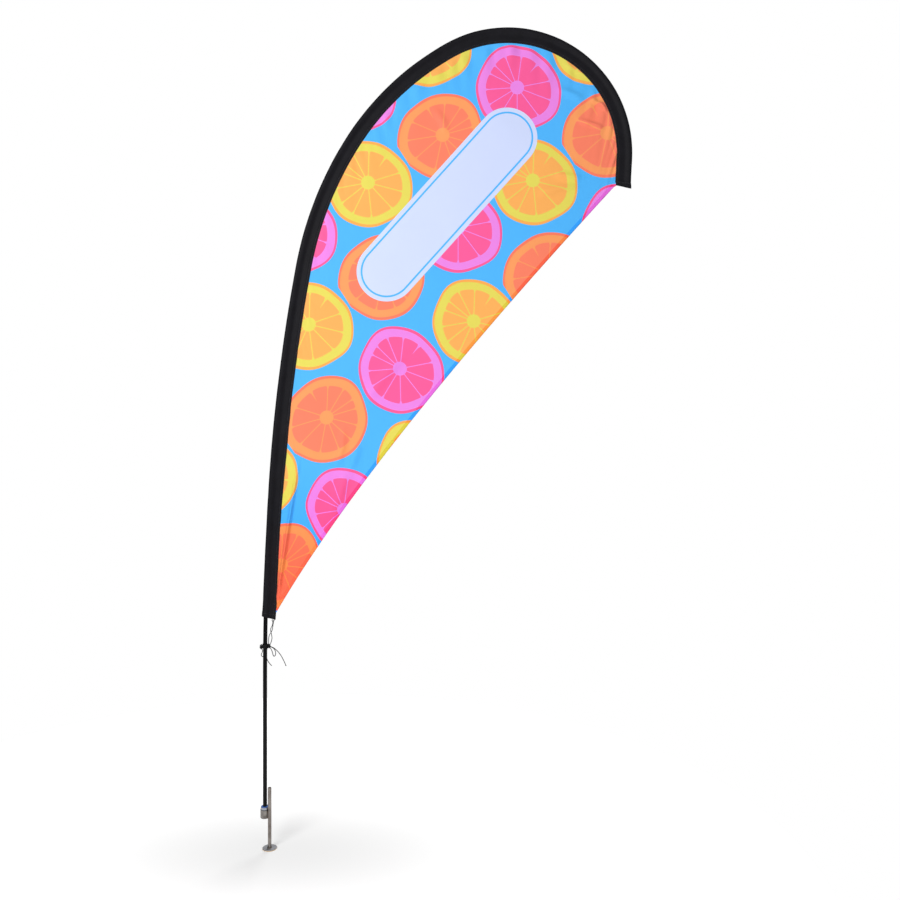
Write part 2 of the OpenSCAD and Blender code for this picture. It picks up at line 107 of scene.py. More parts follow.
# Folds in the flag: (x, z) points along each, its width, and its depth before FOLD_STRENGTH
FOLDS = (
    (((0.097, 1.313), (0.073, 1.159), (0.058, 1.061), (0.036, 0.921), (0.026, 0.839)), 0.006, 0.0070),
    (((0.262, 1.275), (0.235, 1.194), (0.194, 1.119)), 0.017, 0.0048),
    (((0.304, 1.367), (0.286, 1.323), (0.270, 1.280)), 0.015, 0.0042),
    (((0.250, 1.420), (0.246, 1.360), (0.228, 1.300)), 0.012, 0.0036),
    (((1.049, 2.470), (1.090, 2.458), (1.131, 2.446)), 0.007, 0.0054),
    (((1.091, 2.541), (1.130, 2.520), (1.164, 2.489)), 0.007, 0.0060),
    (((0.982, 2.575), (1.020, 2.562), (1.058, 2.546)), 0.012, 0.0042),
    (((1.011, 2.660), (1.060, 2.640), (1.107, 2.604)), 0.009, 0.0048),
    (((0.968, 2.284), (1.012, 2.279), (1.059, 2.274)), 0.012, 0.0042),
    (((0.907, 2.222), (0.985, 2.240), (1.043, 2.250)), 0.013, 0.0036),
    (((0.560, 2.505), (0.585, 2.470), (0.597, 2.430)), 0.012, 0.0030),
    (((0.330, 1.520), (0.390, 1.600), (0.450, 1.670)), 0.018, 0.0036),
)
FOLD_STRENGTH = 1.9
BILLOW = 0.006
SETTLE = 0.0020
HANG_ALONG, HANG_OUT = 0.002, 0.008
COARSE_ROWS, COARSE_COLUMNS = 95, 31
SEAM_PUCKER = 0.013

# ---- print
PRINT_ANCHOR = (0.5858, 2.4208)
PRINT_ALONG = (0.2536, 0.1617)
PRINT_ACROSS = (0.0528, -0.3165)
SLICE_R = 0.1462
RIM = 0.0085
FLESH_SHARE = 0.765
HUB_R = 0.0235
SLICE_SHIFT = (0.0029, -0.0065)
MEMBRANES = (82, 11, -21, -53, -90, -122, -148, 184, 153, 135, 111)
STUB_ANGLE, STUB_FROM = 49, 0.064
MEMBRANE_HALF = 0.0014
PLATE_CENTRE = (0.6008, 2.1839)
PLATE_SIZE = (0.817, 0.204)
PLATE_ANGLE = 48
PLATE_LINE = (0.014, 0.020)
YELLOW_LEAN, ORANGE_MIRROR = 6, 168
# The tie pulls the flag's lowest corner, and the print there with it
PULL_AT = (0.04, 0.89)
PULL_REACH = 0.26
PULL_ALONG = 0.040
PULL_LEAN = 0.013
PULL_DOWN = 0.036
SAG_AT, SAG_REACH = -0.05, 0.17

# ---- tie cord, as offsets in Y
CORD_D = 0.0024
CORD_STEP, BRAID_PITCH = 0.0006, 0.0030
KNOT_X, KNOT_Z = -0.0176, 0.684
WRAP_R = 0.0086
WRAP_PITCH, WRAP_PACKED = 0.003, 0.86
TIE_ROUTE = (
    (-0.005, -0.003, 0.689), (-0.006, -0.002, 0.694), (-0.006, -0.001, 0.702),
    (-0.005, -0.001, 0.713), (-0.0025, -0.0018, 0.722), (0.002, -0.0022, 0.729),
    (0.006, -0.0012, 0.737), (0.0076, 0.0008, 0.746), (0.0085, 0.0032, 0.756),
    (0.0093, 0.0047, 0.763), (0.0095, 0.0036, 0.7685), (0.0095, 0, 0.7702),
    (0.0095, -0.0036, 0.7685), (0.0092, -0.0047, 0.763), (0.007, -0.0034, 0.754),
    (0.003, -0.001, 0.746), (0.0005, 0.001, 0.739), (0.0015, 0.0023, 0.730),
    (0.004, 0.0014, 0.720), (0.0053, 0.0004, 0.711), (0.0042, -0.0004, 0.702),
    (0.0016, -0.001, 0.694), (-0.001, -0.002, 0.688),
)
LOOP_RIGHT = (
    (-0.003, -0.004, 0.679), (0.001, -0.005, 0.677), (0.005, -0.0055, 0.671),
    (0.008, -0.0055, 0.663), (0.010, -0.0055, 0.655), (0.013, -0.0055, 0.650),
    (0.017, -0.0052, 0.652), (0.019, -0.0046, 0.659), (0.0175, -0.0038, 0.667),
    (0.013, -0.0028, 0.674), (0.006, -0.0016, 0.679), (-0.001, -0.0006, 0.680),
)
LOOP_LEFT = (
    (-0.028, -0.003, 0.674), (-0.026, -0.004, 0.669), (-0.027, -0.0036, 0.663),
    (-0.030, -0.0015, 0.657), (-0.031, 0.002, 0.6505), (-0.028, 0.006, 0.6455),
    (-0.023, 0.0095, 0.6465), (-0.019, 0.011, 0.652), (-0.016, 0.011, 0.660),
    (-0.014, 0.0106, 0.668), (-0.013, 0.0102, 0.675),
)
TAIL_LONG = (
    (-0.001, -0.003, 0.683), (0.004, -0.004, 0.6815), (0.012, -0.005, 0.678),
    (0.020, -0.006, 0.6725), (0.028, -0.007, 0.665), (0.035, -0.008, 0.6565),
    (0.041, -0.0086, 0.6475), (0.046, -0.0092, 0.638), (0.051, -0.0096, 0.628),
    (0.0555, -0.010, 0.6175),
)
TAIL_SHORT = (
    (-0.021, 0.0104, 0.680), (-0.020, 0.0112, 0.672), (-0.0185, 0.0116, 0.662),
    (-0.017, 0.0118, 0.651), (-0.015, 0.012, 0.640), (-0.0115, 0.0124, 0.630),
    (-0.0055, 0.0126, 0.621), (0.002, 0.0126, 0.6125),
)

# ---- camera and floor
LENS, SENSOR = 34.1, 36
CAMERA_X, CAMERA_BACK, CAMERA_Z = 0.611, 2.900, 1.350
FLOOR_R = 1.8
# Centre and size of the soft shadow painted on the floor
SHADOW_AT = (0.05, -0.03)
SHADOW_SIZE = (1.15, 0.66)


# ---- camera
def make_camera():
    """A level camera in front of the flag, far enough for the whole of it."""
    data = bpy.data.cameras.new("camera")
    data.lens, data.sensor_width = LENS, SENSOR
    camera = bpy.data.objects.new("camera", data)
    camera.location = (CAMERA_X, FLAG_Y - CAMERA_BACK, CAMERA_Z)
    camera.rotation_euler = (math.radians(90), 0, 0)
    bpy.context.scene.collection.objects.link(camera)
    bpy.context.scene.camera = camera


# ---- small geometry helpers
def pole_at(s):
    """Centre (x, z) and heading of the pole's line at distance s from its foot."""
    x, z, heading = POLE_X, FOOT_Z, 0.0
    for length, bend in POLE_CHAIN:
        step = min(s, length)
        turn = math.radians(bend) * step / length
        if bend:
            radius = length / math.radians(bend)
            x += radius * (math.cos(heading) - math.cos(heading + turn))
            z += radius * (math.sin(heading + turn) - math.sin(heading))
        else:
            x += step * math.sin(heading)
            z += step * math.cos(heading)
        heading += turn
        s -= step
        if s <= 0:
            break
    return x, z, heading


def beside(s, u, v, w=0.0):
    """Point u to the inner side of the pole, v in Y and w further along it, at distance s."""
    x, z, heading = pole_at(s)
    sin, cos = math.sin(heading), math.cos(heading)
    return Vector((x + u * cos + w * sin, FLAG_Y + v, z - u * sin + w * cos))


def lookup(table, s):
    """Value at s in a table of (place, value) rows, in a straight line between them."""
    for (s0, a), (s1, b) in zip(table, table[1:]):
        if s <= s1:
            return a + (b - a) * max(0.0, s - s0) / (s1 - s0)
    return table[-1][1]


def fade(x, low, high):
    """0 before low, 1 after high, smooth between them."""
    t = min(1.0, max(0.0, (x - low) / (high - low)))
    return t * t * (3 - 2 * t)


def span(start, end, step):
    """Even values from start to end, about step apart."""
    n = max(1, round((end - start) / step))
    return [start + (end - start) * i / n for i in range(n + 1)]


def ripple(x, y, z):
    """Smooth noise from about -1 to 1."""
    return noise.noise(Vector((x, y, z)))


def grid_faces(rows, columns, start=0, closed=False, flip=False):
    """Quads over rows of points, each row closed into a ring where asked."""
    faces = []
    for i in range(rows - 1):
        for j in range(columns if closed else columns - 1):
            a, b = start + i * columns + j, start + i * columns + (j + 1) % columns
            quad = (a, b, b + columns, a + columns)
            faces.append(quad[::-1] if flip else quad)
    return faces


def make_piece(name, points, faces, materials, slots=None):
    """A mesh object in the row frame, with its materials and each face's slot among them."""
    mesh = bpy.data.meshes.new(name)
    mesh.from_pydata([tuple(p) for p in points], [], faces)
    for material in materials:
        mesh.materials.append(material)
    mesh.polygons.foreach_set("use_smooth", [True] * len(mesh.polygons))
    if slots:
        mesh.polygons.foreach_set("material_index", slots)
    mesh.validate()
    piece = bpy.data.objects.new(name, mesh)
    bpy.context.scene.collection.objects.link(piece)
    return piece


def smooth_route(points, steps=8):
    """Smooth curve through a route's points."""
    points = [Vector(p) for p in points]
    last = len(points) - 1
    path = []
    for i in range(last):
        a, b, c, d = points[max(i - 1, 0)], points[i], points[i + 1], points[min(i + 2, last)]
        for k in range(steps):
            t = k / steps
            path.append(
                b
                + 0.5 * t * (c - a)
                + t * t * (a - 2.5 * b + 2 * c - 0.5 * d)
                + t * t * t * (-0.5 * a + 1.5 * b - 1.5 * c + 0.5 * d)
            )
    return path + [points[last]]


def even_path(path, step):
    """The same path with its points an even step apart, and its length."""
    lengths = [0.0]
    for a, b in zip(path, path[1:]):
        lengths.append(lengths[-1] + (b - a).length)
    total, out, i = lengths[-1], [], 0
    for at in span(0, total, step):
        while i < len(path) - 2 and lengths[i + 1] < at:
            i += 1
        share = (at - lengths[i]) / max(1e-9, lengths[i + 1] - lengths[i])
        out.append(path[i].lerp(path[i + 1], min(1.0, share)))
    return out, total


def rings_along(path):
    """A point, and two unit vectors across the path, for each point of it, without twist."""
    rings = []
    side = None
    for i, p in enumerate(path):
        ahead = (path[min(i + 1, len(path) - 1)] - path[max(i - 1, 0)]).normalized()
        if side is None:
            guide = Vector((0, 1, 0)) if abs(ahead.y) < 0.9 else Vector((1, 0, 0))
            side = ahead.cross(guide).normalized()
        side = (side - ahead * side.dot(ahead)).normalized()
        rings.append((p, side, ahead.cross(side)))
    return rings


def tube_shell(path, radius, sides, start=0):
    """Points and faces of a closed tube. radius(i, k) is its radius at point i, side k."""
    points, faces = [], grid_faces(len(path), sides, start, closed=True)
    for i, (p, e, f) in enumerate(rings_along(path)):
        for k in range(sides):
            a = 2 * math.pi * k / sides
            points.append(p + radius(i, k) * (math.cos(a) * e + math.sin(a) * f))
    for ring, turned in ((0, True), (len(path) - 1, False)):
        centre = start + len(points)
        points.append(path[ring])
        for k in range(sides):
            a, b = start + ring * sides + k, start + ring * sides + (k + 1) % sides
            faces.append((centre, b, a) if turned else (centre, a, b))
    return points, faces


# ---- materials
class Wire:
    """A value in a material's nodes that takes ordinary arithmetic."""

    def __init__(self, tree, socket):
        self.tree, self.socket = tree, socket

    def math(self, operation, *others):
        node = self.tree.nodes.new("ShaderNodeMath")
        node.operation = operation
        for target, value in zip(node.inputs, (self, *others)):
            if isinstance(value, Wire):
                self.tree.links.new(value.socket, target)
            else:
                target.default_value = value
        return Wire(self.tree, node.outputs[0])

    __add__ = partialmethod(math, "ADD")
    __sub__ = partialmethod(math, "SUBTRACT")
    __mul__ = partialmethod(math, "MULTIPLY")
    __truediv__ = partialmethod(math, "DIVIDE")
    __lt__ = partialmethod(math, "LESS_THAN")
    __gt__ = partialmethod(math, "GREATER_THAN")

    def hypot(self, other):
        return (self * self + other * other).math("SQRT")

    def between(self, low, high):
        """0 at low, 1 at high, and no further."""
        node = self.tree.nodes.new("ShaderNodeMapRange")
        self.tree.links.new(self.socket, node.inputs["Value"])
        node.inputs["From Min"].default_value = low
        node.inputs["From Max"].default_value = high
        return Wire(self.tree, node.outputs["Result"])


def linear(red, green, blue):
    """A colour of 0 to 255 steps, as the shader wants it."""
    steps = [c / 255 for c in (red, green, blue)]
    return [c / 12.92 if c <= 0.04045 else ((c + 0.055) / 1.055) ** 2.4 for c in steps] + [1.0]


class Finish:
    """A Principled material while its nodes are being added."""

    def __init__(self, name, **inputs):
        self.material = bpy.data.materials.new(name)
        self.material.use_nodes = True
        self.tree = self.material.node_tree
        self.shader = self.tree.nodes["Principled BSDF"]
        for key, value in inputs.items():
            self.shader.inputs[key.replace("_", " ")].default_value = value

    def add(self, kind, **constants):
        """A new node of that kind, with its constant inputs."""
        node = self.tree.nodes.new("ShaderNode" + kind)
        for key, value in constants.items():
            node.inputs[key].default_value = value
        return node

    def link(self, socket, target):
        self.tree.links.new(socket, target)

    def place(self, scale=(1, 1, 1)):
        """Place on the piece, stretched by scale."""
        mapping = self.add("Mapping", Scale=scale)
        self.link(self.add("TexCoord").outputs["Object"], mapping.inputs["Vector"])
        return mapping.outputs["Vector"]

    def axes(self):
        """X, Y and Z on the piece."""
        split = self.add("SeparateXYZ")
        self.link(self.place(), split.inputs[0])
        return [Wire(self.tree, split.outputs[i]) for i in range(3)]

    def grain(self, scale, detail, stretch=(1, 1, 1)):
        """Noise of that many features per metre."""
        node = self.add("TexNoise", Scale=scale, Detail=detail, Roughness=0.5)
        self.link(self.place(stretch), node.inputs["Vector"])
        return Wire(self.tree, node.outputs["Fac"])

    def cells(self, scale, stretch=(1, 1, 1)):
        """Distance to the nearest of scattered points, that many per metre."""
        node = self.add("TexVoronoi", Scale=scale)
        self.link(self.place(stretch), node.inputs["Vector"])
        return Wire(self.tree, node.outputs["Distance"])

    def threads(self, pitch):
        """Warp and weft of a plain weave with that pitch, seen in the flag's plane."""
        x, _, z = self.axes()
        turns = 2 * math.pi / pitch
        warp = (x * turns).math("SINE")
        weft = (z * turns).math("SINE")
        return warp * weft * 0.5 + 0.5

    def mix(self, factor, a, b):
        """From a to b by factor, each a colour of 0 to 255 steps or a colour socket."""
        node = self.add("Mix")
        node.data_type = "RGBA"
        self.link(factor.socket, node.inputs["Factor"])
        targets = [i for i in node.inputs if i.type == "RGBA"]
        for target, value in zip(targets, (a, b)):
            if isinstance(value, tuple):
                target.default_value = linear(*value)
            else:
                self.link(value, target)
        return [o for o in node.outputs if o.type == "RGBA"][0]

    def colour(self, socket):
        self.link(socket, self.shader.inputs["Base Color"])

    def rough(self, factor, low, high):
        value = factor * (high - low) + low
        self.link(value.socket, self.shader.inputs["Roughness"])

    def relief(self, height, distance, strength):
        """Bump of that height in metres."""
        node = self.add("Bump", Distance=distance, Strength=strength)
        self.link(height.socket, node.inputs["Height"])
        self.link(node.outputs["Normal"], self.shader.inputs["Normal"])


def drawn_steel():
    """Bright drawn bar, gone grey-brown, with lines along it and a few specks."""
    f = Finish("drawn_steel", Metallic=1.0)
    lines = f.grain(900, 4, (1, 1, 0.012))
    stain = f.grain(45, 5)
    tone = f.mix(stain.between(0.35, 0.7), (150, 143, 138), (112, 104, 99))
    specks = f.cells(260) < 0.16
    tone = f.mix(specks * stain.between(0.5, 0.62), tone, (92, 70, 56))
    f.colour(tone)
    f.rough(lines * 0.6 + stain * 0.4, 0.22, 0.46)
    f.relief(lines, 0.00012, 0.5)
    return f.material


def zinc_plate():
    """Zinc plate with a fine spangle, and a yellow band along its lower edge that is a painted gold
    reflection.
    """
    f = Finish("zinc_plate", Metallic=1.0)
    spangle = f.cells(700)
    cloud = f.grain(120, 4)
    tone = f.mix(spangle.between(0.1, 0.6), (192, 194, 198), (160, 161, 166))
    _, _, z = f.axes()
    # Painted reflection: a gold band along the lower edge of the disc.
    low = z.between(DISC[0].z + 0.0021, DISC[0].z + 0.0012) * cloud.between(0.3, 0.45)
    f.colour(f.mix(low, tone, (224, 176, 84)))
    f.rough(cloud, 0.3, 0.52)
    f.relief(spangle * 0.4 + cloud * 0.6, 0.0001, 0.4)
    return f.material


def turned_metal(name, light, dark, rough):
    """Metal turned on a lathe: fine rings round a vertical axis, and soft clouding."""
    f = Finish(name, Metallic=1.0)
    rings = f.grain(2600, 2, (0.004, 0.004, 1))
    cloud = f.grain(70, 4)
    f.colour(f.mix(cloud.between(0.35, 0.68), light, dark))
    f.rough(rings * 0.7 + cloud * 0.3, rough * 0.7, rough * 1.4)
    f.relief(rings, 0.00006, 0.45)
    return f.material


def weld_metal():
    """Dark, slightly burnt weld, with straw and blue heat tints."""
    f = Finish("weld_metal", Metallic=1.0)
    scale = f.grain(420, 6)
    heat = f.grain(60, 3)
    tone = f.mix(heat.between(0.4, 0.62), (108, 104, 101), (118, 104, 86))
    f.colour(f.mix(scale.between(0.55, 0.7), tone, (62, 66, 78)))
    f.rough(scale, 0.35, 0.7)
    f.relief(scale, 0.0002, 0.6)
    return f.material


def wound_composite():
    """Black fibre composite under a thin glossy skin, with faint lines along the wrap."""
    f = Finish("wound_composite", IOR=1.5, Coat_Weight=0.04, Coat_Roughness=0.2, Specular_IOR_Level=0.12)
    fibres = f.grain(700, 3, (1, 1, 0.02))
    scuffs = f.grain(160, 6)
    tone = f.mix(fibres.between(0.3, 0.7), (4, 4, 5), (9, 9, 11))
    f.colour(f.mix(scuffs.between(0.66, 0.8), tone, (34, 34, 37)))
    f.rough(scuffs, 0.25, 0.45)
    f.relief(fibres, 0.00012, 0.4)
    return f.material


def moulded_plastic(name, light, dark, rough):
    """Moulded plastic or rubber with a fine spark-eroded texture."""
    f = Finish(name, IOR=1.47)
    texture = f.grain(1800, 3)
    cloud = f.grain(90, 3)
    f.colour(f.mix(cloud.between(0.3, 0.7), light, dark))
    f.rough(texture, rough * 0.8, rough * 1.25)
    f.relief(texture, 0.00008, 0.5)
    return f.material


def sleeve_cloth():
    """Near-black polyester with a plain weave, a soft sheen and lint. The weave's crests are painted
    lighter as a highlight.
    """
    f = Finish("sleeve_cloth", Sheen_Weight=0.02, Sheen_Roughness=0.4, Specular_IOR_Level=0.14)
    weave = f.threads(0.0011)
    wear = f.grain(26, 5)
    tone = f.mix(wear.between(0.3, 0.72), (9, 8, 13), (17, 16, 22))
    # Painted highlight: the weave's crests are lighter.
    tone = f.mix(weave.between(0.2, 0.9) * 0.3, tone, (28, 27, 34))
    lint = f.cells(95) < 0.03
    f.colour(f.mix(lint, tone, (50, 50, 56)))
    f.rough(weave, 0.5, 0.68)
    f.relief(weave * 0.7 + wear * 0.3, 0.00025, 0.5)
    return f.material


def webbing_cloth():
    """Black ribbed webbing."""
    f = Finish("webbing_cloth", Sheen_Weight=0.15, Specular_IOR_Level=0.25)
    _, _, z = f.axes()
    ribs = (z * (2 * math.pi / 0.0012)).math("SINE") * 0.5 + 0.5
    fluff = f.grain(900, 4)
    f.colour(f.mix(ribs * 0.7 + fluff * 0.3, (16, 16, 19), (38, 38, 42)))
    f.rough(fluff, 0.65, 0.85)
    f.relief(ribs, 0.0003, 0.6)
    return f.material


def braided_cord():
    """Black braided elastic with paler flecks between the strands, painted on as grey glints."""
    f = Finish("braided_cord", Sheen_Weight=0.04, Specular_IOR_Level=0.2)
    strands = f.cells(1500, (1, 1, 0.6))
    fluff = f.grain(500, 4)
    tone = f.mix(strands.between(0.1, 0.7), (22, 22, 25), (8, 8, 10))
    # Painted glints: paler grey flecks.
    f.colour(f.mix(fluff.between(0.64, 0.78), tone, (62, 62, 66)))
    f.rough(strands, 0.5, 0.75)
    f.relief(strands, 0.00015, 0.6)
    return f.material


def sewing_thread():
    """Black thread with a twist."""
    f = Finish("sewing_thread", Sheen_Weight=0.1)
    twist = f.grain(2600, 2)
    f.colour(f.mix(twist.between(0.35, 0.65), (44, 44, 50), (78, 77, 86)))
    f.rough(twist, 0.4, 0.65)
    f.relief(twist, 0.0001, 0.5)
    return f.material


SKY = (80, 184, 255)
PLATE = (211, 222, 255)
PITH = ((232, 219, 92), (255, 160, 97), (240, 136, 232))
RIND = ((255, 175, 84), (255, 126, 98), (255, 92, 152))
FLESH = ((255, 178, 92), (255, 131, 101), (255, 94, 157))


def by_kind(f, kind, colours):
    """The yellow, orange or pink slice's colour."""
    orange = f.mix(kind.math("COMPARE", 1.0, 0.5), colours[0], colours[1])
    return f.mix(kind.math("COMPARE", 2.0, 0.5), orange, colours[2])


def turned_drawing(kind, x, z):
    """Place within a slice, turned or mirrored so that all three kinds share one drawing."""
    is_orange = kind.math("COMPARE", 1.0, 0.5)
    is_yellow = kind.math("COMPARE", 0.0, 0.5)
    lean, mirror = math.radians(YELLOW_LEAN), math.radians(ORANGE_MIRROR)

    def pick(yellow, orange, pink):
        return is_orange * (orange - pink) + is_yellow * (yellow - pink) + pink

    cos, sin = math.cos, math.sin
    u = x * pick(cos(lean), cos(mirror), 1) + z * pick(sin(lean), sin(mirror), 0)
    w = x * pick(-sin(lean), sin(mirror), 0) + z * pick(cos(lean), -cos(mirror), 1)
    return u, w


def slice_masks(u, w):
    """Where a slice's whole disc, its rind and its flesh are, around its hub."""
    to_degrees = 180 / math.pi
    cu, cw = u - SLICE_SHIFT[0], w - SLICE_SHIFT[1]
    from_centre = cu.hypot(cw)
    around = cw.math("ARCTAN2", cu)

    def wave(count, peak, height):
        """Count bumps round the slice, one of them at peak degrees."""
        return (around * count - math.radians(count * peak)).math("COSINE") * height

    edge = wave(2, 125, 0.0038) + wave(3, 225, 0.0042) + wave(5, 40, 0.0012)
    edge = edge + wave(7, 15, 0.0013) + SLICE_R
    disc = from_centre < edge
    rind = from_centre > edge - (wave(2, 60, 0.0015) + RIM)
    flesh_edge = edge * FLESH_SHARE

    hub = u.hypot(w)
    angle = w.math("ARCTAN2", u) * to_degrees

    def angle_from(degrees):
        return (angle - degrees).math("WRAP", 180.0, -180.0).math("ABSOLUTE")

    nearest = angle_from(MEMBRANES[0])
    for degrees in MEMBRANES[1:]:
        nearest = nearest.math("MINIMUM", angle_from(degrees))
    rounding = (from_centre / flesh_edge).between(0.88, 1.0)
    flare = rounding * rounding * 0.0034
    off_membrane = nearest * hub / to_degrees > flare + MEMBRANE_HALF
    stub_half = hub.between(STUB_FROM, SLICE_R * FLESH_SHARE) * 0.0035 + flare
    off_stub = (angle_from(STUB_ANGLE) * hub / to_degrees > stub_half).math(
        "MAXIMUM", hub < STUB_FROM
    )
    flesh = (from_centre < flesh_edge) * (hub > HUB_R) * off_membrane * off_stub
    return disc, rind, flesh


def pulled_print(x, z):
    """Place on the print before the tie pulled the flag's lowest corner."""
    pulled = (x - PULL_AT[0]).hypot(z - PULL_AT[1]) / PULL_REACH
    pulled = (pulled.math("POWER", 6.0) * -1).math("EXPONENT") * PULL_ALONG
    near_sleeve = (x - SAG_AT) / SAG_REACH
    sag = (near_sleeve * near_sleeve * -1).math("EXPONENT") * z.between(2.0, 1.35) * PULL_DOWN
    lean = z.between(1.75, 1.25) * PULL_LEAN
    return x - pulled - lean, z + sag


def nearest_slice(x, z):
    """Which kind of slice lies nearest in the staggered rows, and the place from its hub."""
    ax, az = PRINT_ALONG
    cx, cz = PRINT_ACROSS
    qx, qz = x - PRINT_ANCHOR[0], z - PRINT_ANCHOR[1]
    upper = ((qx * az - qz * ax) / (cx * az - cz * ax)).math("FLOOR")

    def in_row(row):
        sx, sz = qx - row * cx, qz - row * cz
        column = ((sx * ax + sz * az) / (ax * ax + az * az)).math("ROUND")
        kind = (row + column + 1).math("FLOORED_MODULO", 3.0)
        return kind, sx - column * ax, sz - column * az

    first, second = in_row(upper), in_row(upper + 1)
    closer = second[1].hypot(second[2]) < first[1].hypot(first[2])
    return [closer * (b - a) + a for a, b in zip(first, second)]


def plate_masks(x, z):
    """Where the blank rounded plate and the line inside its edge are."""
    angle = math.radians(PLATE_ANGLE)
    dx, dz = x - PLATE_CENTRE[0], z - PLATE_CENTRE[1]
    along = dx * math.cos(angle) + dz * math.sin(angle)
    across = dz * math.cos(angle) - dx * math.sin(angle)
    straight = (PLATE_SIZE[0] - PLATE_SIZE[1]) / 2
    past = (along.math("ABSOLUTE") - straight).math("MAXIMUM", 0.0)
    out = past.hypot(across)
    radius = PLATE_SIZE[1] / 2
    line = (out < radius - PLATE_LINE[0]) * (out > radius - PLATE_LINE[1])
    return out < radius, line


def printed_cloth(name, doubled):
    """Printed polyester: citrus slices on sky blue behind a blank plate. A doubled hem is deeper, and the
    lower part of the flag is deepened as painted shade.
    """
    f = Finish(name, Sheen_Weight=0.08, Sheen_Roughness=0.5, Specular_IOR_Level=0.18)
    x, _, z = f.axes()
    kind, rx, rz = nearest_slice(*pulled_print(x, z))
    disc, rind, flesh = slice_masks(*turned_drawing(kind, rx, rz))
    plate, line = plate_masks(x, z)

    ink = f.mix(disc, SKY, by_kind(f, kind, PITH))
    ink = f.mix(disc * rind, ink, by_kind(f, kind, RIND))
    ink = f.mix(flesh, ink, by_kind(f, kind, FLESH))
    ink = f.mix(plate, ink, PLATE)
    ink = f.mix(line, ink, SKY)
    hem_and_shade_deepening = f.add("Gamma", Gamma=1.35)
    f.link(ink, hem_and_shade_deepening.inputs["Color"])
    # The hem is deeper for its doubled cloth. On the rest, the print deepens below z 1.30 as painted
    # shade.
    ink = hem_and_shade_deepening.outputs["Color"] if doubled else f.mix(
        z.between(1.30, 0.92) * 0.8, ink, hem_and_shade_deepening.outputs["Color"]
    )
    uneven = f.grain(7, 4)
    weave = f.threads(0.0009)
    shade = f.add("Mix")
    shade.data_type, shade.blend_type = "RGBA", "MULTIPLY"
    colours = [i for i in shade.inputs if i.type == "RGBA"]
    f.link((uneven * 0.5 + weave * 0.12).socket, shade.inputs["Factor"])
    f.link(ink, colours[0])
    colours[1].default_value = (0.9, 0.92, 0.96, 1)
    f.colour([o for o in shade.outputs if o.type == "RGBA"][0])
    f.rough(weave, 0.55, 0.7)
    f.relief(weave, 0.0001, 0.35)
    return f.material


# ---- soft pieces
def declare(piece, body, slot, *nodes):
    """Puts a piece on its body, in place of the CAD nodes named, which it hides. The slot is not used."""
    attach(piece, body)
    if nodes:
        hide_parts(*nodes)
    return piece


def cord_mesh(name, route, material, sealed=False):
    """Braided round cord along a route: strands cross over it, and a free end is sealed."""
    route = [Vector((x, FLAG_Y + y, z)) for x, y, z in route]
    path, length = even_path(smooth_route(route), CORD_STEP)
    sides, r, last = 16, CORD_D / 2, len(path) - 1

    def radius(i, k):
        along, around = i * CORD_STEP / BRAID_PITCH, k / sides
        one = abs(math.sin(math.pi * (along + 4 * around)))
        other = abs(math.sin(math.pi * (along - 4 * around)))
        end = min(i, last - i) / 2.0
        closing = math.sqrt(max(0.0, 1 - (1 - min(1.0, end)) ** 2)) if sealed else 1.0
        bead = 0.18 * fade(i, last - 8, last - 4) if sealed else 0.0
        return max(0.0002, r * (0.94 + 0.09 * max(one, other) + bead) * closing)

    points, faces = tube_shell(path, radius, sides)
    piece = make_piece(name, points, faces, [material])
    return piece, path, length


def knot_piece(material):
    """Turns of the cord round the pole, with knots to its right, to its left and behind it."""
    r, turns, steps = CORD_D / 2, 5.5, 44
    start = KNOT_Z - WRAP_PITCH * turns / 2
    wrap = []
    for i in range(int(turns * steps) + 1):
        a = 2 * math.pi * i / steps
        ring = WRAP_R + 0.00015 * math.sin(3 * a)
        z = start + WRAP_PITCH * WRAP_PACKED * i / steps
        wrap.append(Vector((KNOT_X + ring * math.cos(a), FLAG_Y + ring * math.sin(a), z)))
    runs = [wrap]
    lumps = (
        (Vector((WRAP_R + 0.0045, -0.0010, -0.0005)), 0.86),
        (Vector((-WRAP_R - 0.0045, -0.0010, -0.0030)), 1.0),
        (Vector((0.0005, WRAP_R + 0.0015, -0.0055)), 0.72),
    )
    for offset, size in lumps:
        middle = Vector((KNOT_X, FLAG_Y, KNOT_Z)) + offset
        run = []
        for i in range(241):
            t = 2 * math.pi * i / 240
            ring = 0.0036 + 0.0022 * math.cos(5 * t)
            run.append(middle + size * Vector((
                0.80 * ring * math.cos(3 * t),
                0.0026 * math.sin(5 * t),
                1.35 * ring * math.sin(3 * t),
            )))
        runs.append(run)
    points, faces = [], []
    for run in runs:
        path, _ = even_path(run, 0.0008)

        def radius(i, k):
            one = abs(math.sin(math.pi * (i * 0.27 + k / 3)))
            return r * (0.94 + 0.09 * one)

        more, quads = tube_shell(path, radius, 12, len(points))
        points += more
        faces += quads
    return make_piece("tie_knot_turns", points, faces, [material])


def make_tie():
    """The whole elastic tie: legs to the sleeve's tab, knot, two loops and two tails."""
    material = braided_cord()
    knot = declare(knot_piece(material), "lower_pole", "tie_cord", "tie_wrap", "tie_knot")

    legs, path, length = cord_mesh("tie_legs", TIE_ROUTE, material)
    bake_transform(legs)
    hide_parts("tie_cord")

    rest = (
        ("loop_right", LOOP_RIGHT, "object"),
        ("loop_left", LOOP_LEFT, "object"),
        ("tail_long", TAIL_LONG, "bare"),
        ("tail_short", TAIL_SHORT, "bare"),
    )
    for name, route, far_end in rest:
        piece, path, length = cord_mesh(name, route, material, sealed=far_end == "bare")
        declare(piece, "lower_pole", "tie_cord", "tie_" + name)


